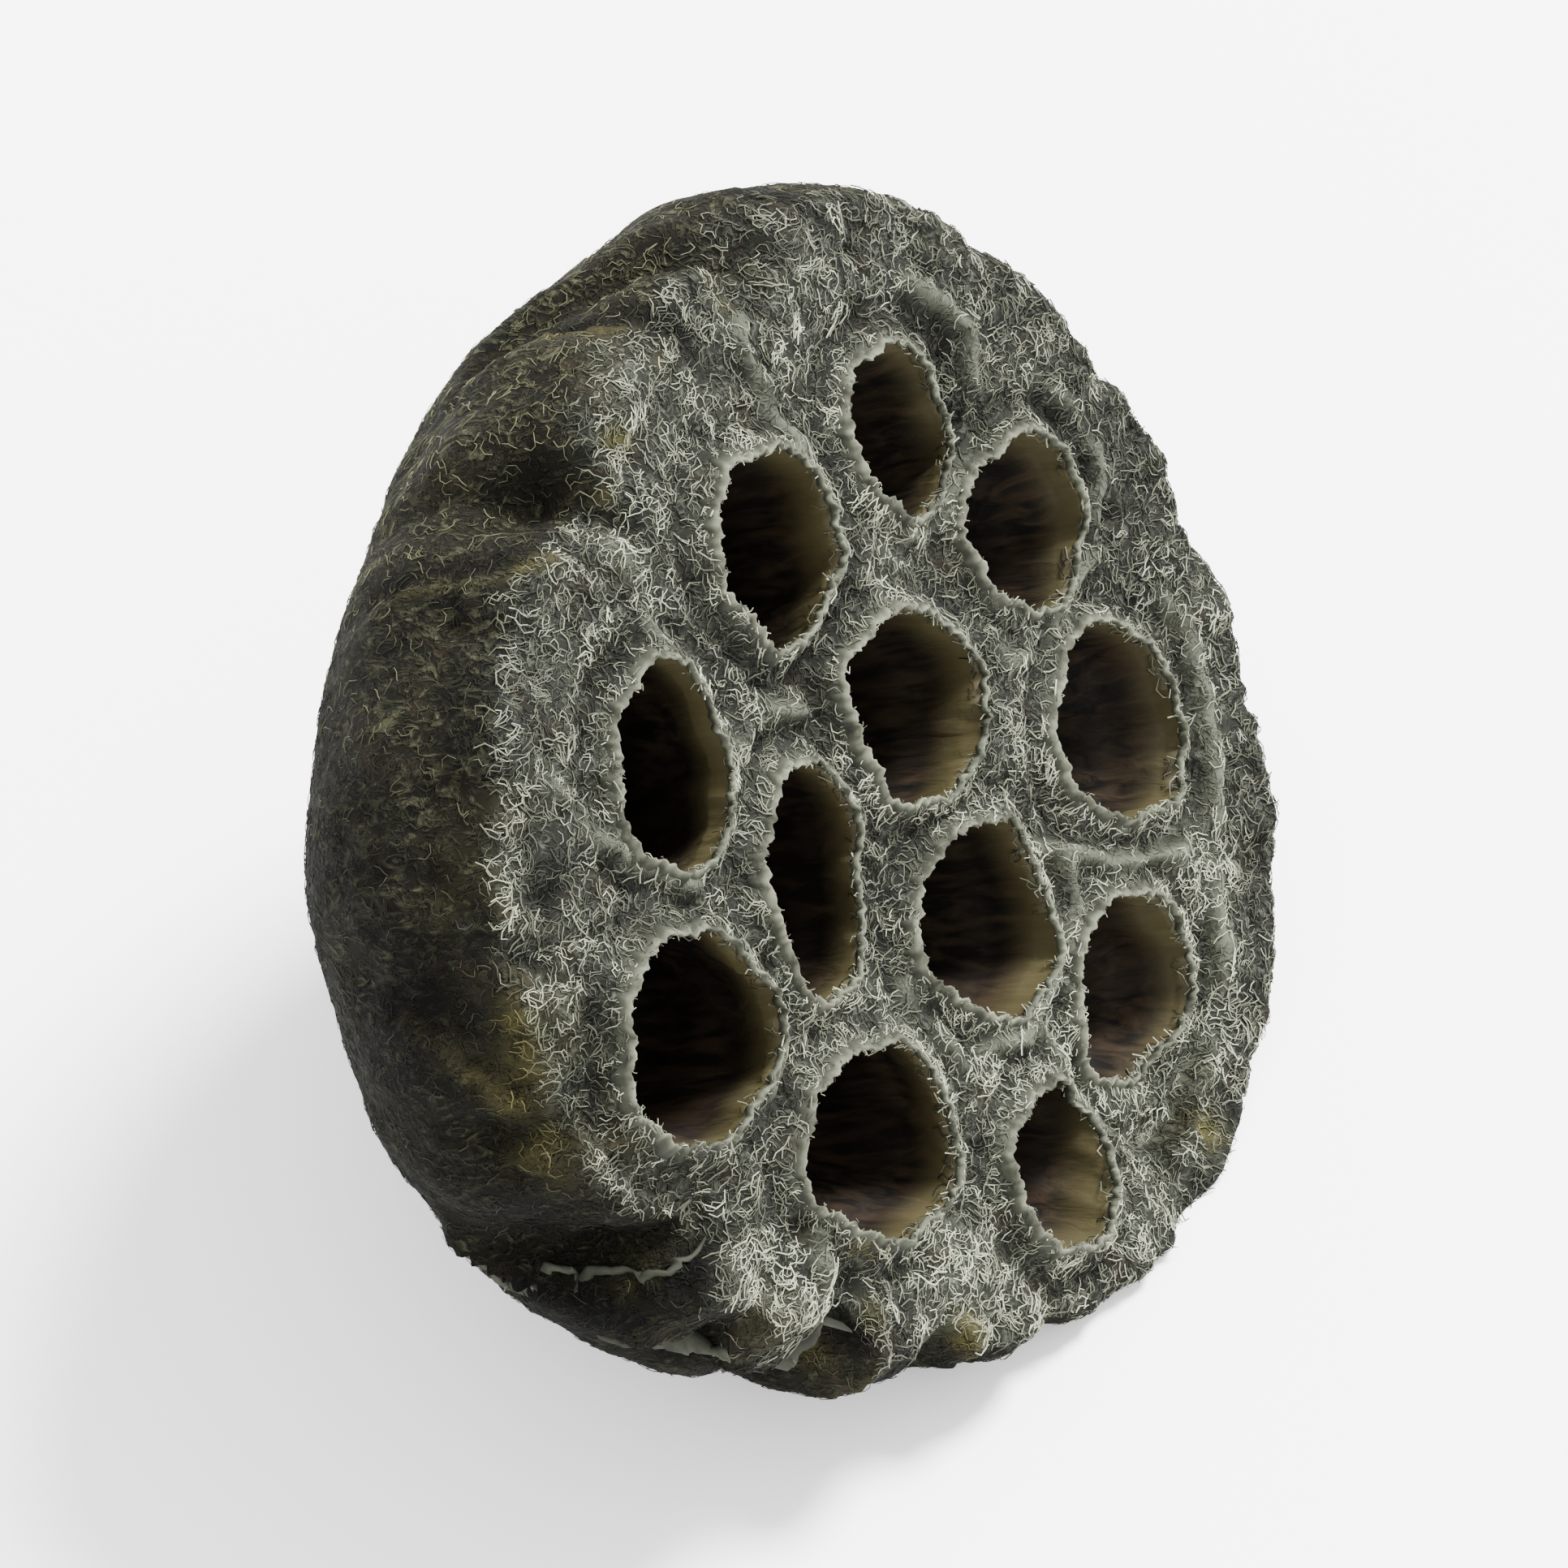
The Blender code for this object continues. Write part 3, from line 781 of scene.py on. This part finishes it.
surface = BVHTree.FromPolygons(
    [vertex.co / MM for vertex in opened.vertices], [face.vertices[:] for face in opened.polygons]
)
lip_points, lip_faces, lip_paleness = [], [], []
for number, (cell_x, cell_y, across, _) in enumerate(CELLS):
    turn = np.arange(LIP_STEPS) / LIP_STEPS * 2 * math.pi
    edge = cell_outline(number, turn, 1.0)
    heights = []
    for step in range(LIP_STEPS):
        around = Vector((math.cos(turn[step]), math.sin(turn[step]), 0))
        tops = []
        for beyond in (0.12, 0.3, 0.5):
            above = Vector((cell_x, cell_y, 9)) + around * (edge[step] + beyond)
            tops.append(surface.ray_cast(above, Vector((0, 0, -1)))[0].z)
        heights.append(max(tops))
    heights = np.array(heights)
    heights = np.max([np.roll(heights, shift) for shift in range(-6, 7)], axis=0)
    heights = np.mean([np.roll(heights, shift) for shift in range(-6, 7)], axis=0) - 0.05
    ring = (np.cos(turn) * across / 2, np.sin(turn) * across / 2, np.full(LIP_STEPS, number * 7.0))
    ring = np.stack(ring, -1)
    tall = 0.3 + 0.28 * noise_at(ring, 2.2) + 0.2 * noise_at(ring, 0.8)
    tall = tall + 0.3 * np.abs(noise_at(ring + 5, 0.35))
    frayed = 0.2 * noise_at(ring + 9, 0.5) + 0.16 * noise_at(ring + 30, 0.28)
    first = len(lip_points)
    for outward, sunk_by, height_share in LIP_SECTION:
        reach = edge + outward + frayed * height_share - 0.12 * height_share
        level = heights + sunk_by + np.maximum(tall, 0.08) * height_share
        lip_points += zip(cell_x + reach * np.cos(turn), cell_y + reach * np.sin(turn), level)
        lip_paleness += [height_share] * LIP_STEPS
    sides = len(LIP_SECTION)
    for side in range(sides):
        low, high = first + side * LIP_STEPS, first + (side + 1) % sides * LIP_STEPS
        for step in range(LIP_STEPS):
            after = (step + 1) % LIP_STEPS
            lip_faces.append((low + step, high + step, high + after, low + after))

# Two folds of the flank end in a loose flap of skin. Its dried edge stands off the flank, so
# it is a narrow ragged band that is rooted along the fold's crest.
FLAP_SECTION = (
    (-0.9, -0.5, 0.0), (0.1, -0.35, 0.0), (0.5, 0.0, 0.1), (0.8, 0.55, 0.15),
    (0.7, 0.7, 0.2), (0.35, 0.35, 0.0), (0.0, 0.1, 0.0), (-0.9, 0.1, 0.0),
)
FLAP_STEPS = 70
for fall, _, _, _, places in (CREASES[8], CREASES[9]):
    places = np.array(places)
    run = np.concatenate(([0], np.cumsum(np.linalg.norm(np.diff(places, axis=0), axis=1))))
    stations = np.linspace(0, run[-1], FLAP_STEPS)
    line = np.stack([np.interp(stations, run, places[:, axis]) for axis in range(3)], -1)
    line = line + 0.35 * np.stack([noise_at(line + shift, 1.6) for shift in (3, 13, 23)], -1)
    fallen = Vector(fall).normalized()
    first = len(lip_points)
    for step, place in enumerate(line):
        root, facing, _, _ = surface.find_nearest(Vector(place))
        ended = math.sin(math.pi * (step + 0.5) / FLAP_STEPS) ** 0.5
        frayed = 1 + 0.35 * noise.noise(Vector(place) / 0.9) + 0.25 * noise.noise(Vector(place) / 0.35)
        frayed = frayed * ended
        for outward, onward, height_share in FLAP_SECTION:
            stand = max(outward, 0) * frayed + min(outward, 0)
            lip_points.append(tuple(root + facing * stand + fallen * onward * frayed))
            lip_paleness.append(height_share)
    sides = len(FLAP_SECTION)
    for step in range(FLAP_STEPS - 1):
        for side in range(sides):
            after = (side + 1) % sides
            low, high = first + step * sides, first + (step + 1) * sides
            lip_faces.append((low + side, low + after, high + after, high + side))
    last = first + (FLAP_STEPS - 1) * sides
    lip_faces.append(tuple(first + side for side in reversed(range(sides))))
    lip_faces.append(tuple(last + side for side in range(sides)))

lip_mesh = bpy.data.meshes.new("torn_edges")
lip_mesh.from_pydata((np.array(lip_points) * MM).tolist(), [], lip_faces)
lip_mesh.attributes.new("paleness", "FLOAT", "POINT").data.foreach_set("value", lip_paleness)
repaired = bmesh.new()
repaired.from_mesh(lip_mesh)
bmesh.ops.recalc_face_normals(repaired, faces=repaired.faces)
repaired.to_mesh(lip_mesh)
repaired.free()
lip_mesh.shade_smooth()
lips = bpy.data.objects.new("torn_edges", lip_mesh)
bpy.context.scene.collection.objects.link(lips)

torn_edge = bpy.data.materials.new("torn_dry_edge")
torn_edge.use_nodes = True
tree = torn_edge.node_tree
shader = tree.nodes["Principled BSDF"]
shader.inputs["Roughness"].default_value = 0.8
shader.inputs["Specular IOR Level"].default_value = 0.1
coords = add(tree, "ShaderNodeTexCoord").outputs["Object"]
paleness = carried(tree, "paleness")
mottle = lumps(tree, coords, 700, 4)
pale = two_tone(tree, mottle, (0.35, "#2c2d25"), (0.62, "#5d6051"))
tint = mixed(tree, paleness, hex_colour("#1a1b16"), pale)
tree.links.new(tint, shader.inputs["Base Color"])
lip_mesh.materials.append(torn_edge)


# The felt: short curly hairs that cover face and flank, thickest on the face. Each is a bent
# three-sided thread a tenth of a millimetre thick, rooted in the skin at a seeded place and
# combed by a slow swirl, so that neighbours lie roughly alike.
hair = bpy.data.materials.new("dry_plant_hair")
hair.use_nodes = True
tree = hair.node_tree
shader = tree.nodes["Principled BSDF"]
shader.inputs["Roughness"].default_value = 0.7
shader.inputs["Specular IOR Level"].default_value = 0.12
shade = carried(tree, "hair_shade")
flankward = carried(tree, "on_flank")
grey = add(tree, "ShaderNodeValToRGB", {"Fac": shade})
olive = add(tree, "ShaderNodeValToRGB", {"Fac": shade})
for ramp, codes in (
    (grey.color_ramp, ("#050504", "#20211b", "#515346", "#9ea18c")),
    (olive.color_ramp, ("#040403", "#10100d", "#20211a", "#53543d")),
):
    ramp.elements.new(0.35)
    ramp.elements.new(0.65)
    for stop, code in zip(ramp.elements, codes):
        stop.color = hex_colour(code)
tint = mixed(tree, flankward, grey.outputs[0], olive.outputs[0])
straw_here = carried(tree, "straw")
tint = mixed(tree, straw_here, tint, hex_colour("#5c5833"))
tree.links.new(tint, shader.inputs["Base Color"])


def by_lot(tree, low, high, seed):
    """A number drawn by lot for each hair."""
    made = add(tree, "FunctionNodeRandomValue", {2: low, 3: high, "Seed": seed}, data_type="FLOAT")
    return made.outputs[1]


def hair_tree(name):
    """Grows hairs on a mesh; every size, the seed and the density's attribute are inputs."""
    tree = bpy.data.node_groups.new(name, "GeometryNodeTree")
    tree.interface.new_socket("Geometry", in_out="INPUT", socket_type="NodeSocketGeometry")
    for label, kind, start in (
        ("Hairs per square metre", "NodeSocketFloat", 1e6),
        ("Where", "NodeSocketString", "face_felt"),
        ("Length", "NodeSocketFloat", 0.0015),
        ("Thickness", "NodeSocketFloat", 0.0001),
        ("Lean low", "NodeSocketFloat", -0.06),
        ("Lean high", "NodeSocketFloat", 0.12),
        ("Brightness", "NodeSocketFloat", 0.0),
        ("Seed", "NodeSocketInt", 1),
    ):
        socket = tree.interface.new_socket(label, in_out="INPUT", socket_type=kind)
        socket.default_value = start
    tree.interface.new_socket("Geometry", in_out="OUTPUT", socket_type="NodeSocketGeometry")
    given = add(tree, "NodeGroupInput").outputs
    seed = given["Seed"]
    named = {"Name": given["Where"]}
    where = add(tree, "GeometryNodeInputNamedAttribute", named, data_type="FLOAT").outputs[0]
    density = reckoned(tree, "MULTIPLY", where, given["Hairs per square metre"])
    roots = {"Mesh": given["Geometry"], "Density": density, "Seed": seed}
    spread = add(tree, "GeometryNodeDistributePointsOnFaces", roots)

    # Four hairs: a bow, a hook, a double bend and a nearly straight one.
    shapes = (
        ((-0.5, 0, -0.02), (-0.34, 0.5, 0.1), (0.34, 0.55, 0.12), (0.42, -0.05, 0)),
        ((-0.5, 0, -0.02), (0.1, -0.1, 0.1), (0.66, 0.15, 0.14), (0.2, 0.42, 0)),
        ((-0.45, 0, -0.02), (-0.2, 0.7, 0.1), (0.2, -0.7, 0.12), (0.45, 0.05, 0)),
        ((-0.5, 0, -0.02), (-0.2, 0.12, 0.06), (0.2, -0.2, 0.1), (0.5, 0.1, 0.04)),
    )
    profile = reckoned(tree, "MULTIPLY", given["Thickness"], 0.5)
    profile = add(tree, "GeometryNodeCurvePrimitiveCircle", {"Resolution": 3, "Radius": profile})
    profile = profile.outputs["Curve"]
    kinds = add(tree, "GeometryNodeJoinGeometry")
    for shape in reversed(shapes):
        ends = {}
        for label, place in zip(("Start", "Start Handle", "End Handle", "End"), shape):
            sized = {0: place, "Scale": given["Length"]}
            ends[label] = add(tree, "ShaderNodeVectorMath", sized, operation="SCALE").outputs[0]
        line = add(tree, "GeometryNodeCurvePrimitiveBezierSegment", {"Resolution": 3, **ends})
        drawn = {"Curve": line.outputs["Curve"], "Profile Curve": profile, "Fill Caps": True}
        tube = add(tree, "GeometryNodeCurveToMesh", drawn)
        single = add(tree, "GeometryNodeGeometryToInstance", {"Geometry": tube.outputs["Mesh"]})
        tree.links.new(single.outputs[0], kinds.inputs[0])

    place = add(tree, "GeometryNodeInputPosition").outputs[0]
    swirl = lumps(tree, place, 170, 1)
    swirl = reckoned(tree, "MULTIPLY", swirl, 22)
    stray = by_lot(tree, -0.9, 0.9, seed)
    heading = reckoned(tree, "ADD", swirl, stray)
    lean = by_lot(tree, given["Lean low"], given["Lean high"], seed)
    lean = reckoned(tree, "MULTIPLY", lean, -1)
    tipped = add(tree, "ShaderNodeCombineXYZ", {"Y": lean, "Z": heading}).outputs[0]
    tipped = add(tree, "FunctionNodeEulerToRotation", {"Euler": tipped}).outputs[0]
    turns = {"Rotation": spread.outputs["Rotation"], "Rotate By": tipped}
    facing = add(tree, "FunctionNodeRotateRotation", turns, rotation_space="LOCAL").outputs[0]
    size = by_lot(tree, 0.45, 1.35, seed)
    which = add(tree, "FunctionNodeRandomValue", {4: 0, 5: 3, "Seed": seed}, data_type="INT").outputs[2]
    placed = add(
        tree,
        "GeometryNodeInstanceOnPoints",
        {
            "Points": spread.outputs["Points"],
            "Instance": kinds.outputs[0],
            "Pick Instance": True,
            "Instance Index": which,
            "Rotation": facing,
            "Scale": size,
        },
    ).outputs[0]
    tuft = lumps(tree, place, 520, 2)
    tuft = ranged(tree, tuft, (0.3, 0.7), (-0.22, 0.22))
    own = by_lot(tree, 0.1, 0.7, seed)
    tone = reckoned(tree, "ADD", own, tuft)
    # Each hair takes on the painted light and shade of the skin it grows from, over its own random tone.
    below = add(tree, "GeometryNodeInputNamedAttribute", {"Name": "tone"}, data_type="FLOAT").outputs[0]
    below = reckoned(tree, "MULTIPLY", below, 0.55)
    tone = reckoned(tree, "ADD", tone, below)
    lifted = {0: tone, 1: given["Brightness"]}
    tone = add(tree, "ShaderNodeMath", lifted, operation="ADD", use_clamp=True).outputs[0]
    placed = add(
        tree,
        "GeometryNodeStoreNamedAttribute",
        {"Geometry": placed, "Name": "hair_shade", "Value": tone},
        data_type="FLOAT",
        domain="INSTANCE",
    ).outputs[0]
    whole = add(tree, "GeometryNodeRealizeInstances", {"Geometry": placed}).outputs[0]
    whole = add(tree, "GeometryNodeSetMaterial", {"Geometry": whole, "Material": hair}).outputs[0]
    made = add(tree, "NodeGroupOutput")
    tree.links.new(whole, made.inputs[0])
    return tree


felt_tree = hair_tree("felt_hairs")


def grow_felt(name, on, **sizes):
    """Runs the hair tree over a copy of a body and keeps the hairs as a plain mesh."""
    bed = bpy.data.objects.new(name, on.data)
    bpy.context.scene.collection.objects.link(bed)
    growth = bed.modifiers.new("felt", "NODES")
    growth.node_group = felt_tree
    for socket in felt_tree.interface.items_tree:
        key = socket.name.lower().replace(" ", "_")
        if key in sizes:
            growth[socket.identifier] = sizes[key]
    bpy.context.view_layer.update()
    grown = bpy.data.meshes.new_from_object(bed.evaluated_get(bpy.context.evaluated_depsgraph_get()))
    bed.modifiers.clear()
    bed.data = grown
    grown.name = name
    return bed


FELT = (
    # name, body, where, hairs on a square metre, length, thickness, lean, brightness, seed
    ("face_felt_under", pod, "face_felt", 3.6e6, 0.0012, 0.00008, (-0.08, 0.05), -0.06, 3),
    ("face_felt_over", pod, "face_felt", 3.6e6, 0.0009, 0.00006, (-0.06, 0.1), 0.12, 8),
    ("face_felt_fine", pod, "face_felt", 2.4e6, 0.0007, 0.00006, (-0.1, 0.04), 0.02, 21),
    ("flank_felt", pod, "flank_felt", 1.6e6, 0.0009, 0.00005, (-0.1, 0.02), 0.05, 5),
    ("lip_fringe", lips, "paleness", 3e6, 0.0005, 0.00005, (0.3, 1.4), 0.1, 2),
)
felts = [
    grow_felt(
        name, body, where=where, hairs_per_square_metre=count, length=length, thickness=thickness,
        lean_low=lean[0], lean_high=lean[1], brightness=brightness, seed=seed,
    )
    for name, body, where, count, length, thickness, lean, brightness, seed in FELT
]

for piece in [lips] + felts:
    place_pod(piece.data)
    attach(piece, "root")

# Camera: the photograph looks down on the pod from its left, from far off with a long lens.
# Floor and light: plain white paper, one soft lamp at the right and a weak one at the left.
POD_MIDDLE = Vector((0.5, 0.0, 27.5)) * MM
azimuth, elevation = math.radians(-65.2), math.radians(50)
level = math.cos(elevation)
back = Vector((math.sin(azimuth) * level, -math.cos(azimuth) * level, math.sin(elevation)))
camera = bpy.data.objects.new("camera", bpy.data.cameras.new("camera"))
camera.location = POD_MIDDLE + back * 0.6
camera.rotation_euler = back.to_track_quat("Z", "Y").to_euler()
camera.data.lens = 236
camera.data.sensor_width = 36
camera.data.clip_start = 0.01
bpy.context.scene.collection.objects.link(camera)
bpy.context.scene.camera = camera

place_pod(opened)
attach(pod, "root")
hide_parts("lotus_pod")

floor_mesh = bpy.data.meshes.new("floor")
floor_mesh.from_pydata([(-3, -3, 0), (3, -3, 0), (3, 3, 0), (-3, 3, 0)], [], [(0, 1, 2, 3)])
floor = bpy.data.objects.new("floor", floor_mesh)
bpy.context.scene.collection.objects.link(floor)
paper = bpy.data.materials.new("white_paper")
paper.use_nodes = True
paper.node_tree.nodes["Principled BSDF"].inputs["Base Color"].default_value = hex_colour("#fdfdfd")
paper.node_tree.nodes["Principled BSDF"].inputs["Roughness"].default_value = 0.9
floor.data.materials.append(paper)


def soft_light(name, place, size, power):
    """A round lamp that looks at the pod."""
    light = bpy.data.objects.new(name, bpy.data.lights.new(name, "AREA"))
    light.data.shape = "DISK"
    light.data.size = size
    light.data.energy = power
    light.location = place
    light.rotation_euler = (Vector(place) - POD_MIDDLE).to_track_quat("Z", "Y").to_euler()
    bpy.context.scene.collection.objects.link(light)


soft_light("key", (0.5, -0.25, 0.85), 0.35, 56)
soft_light("fill", (-0.7, -0.5, 0.6), 0.9, 5)
world = bpy.data.worlds.new("studio")
world.use_nodes = True
world.node_tree.nodes["Background"].inputs["Color"].default_value = (1, 1, 1, 1)
world.node_tree.nodes["Background"].inputs["Strength"].default_value = 2.7
bpy.context.scene.world = world
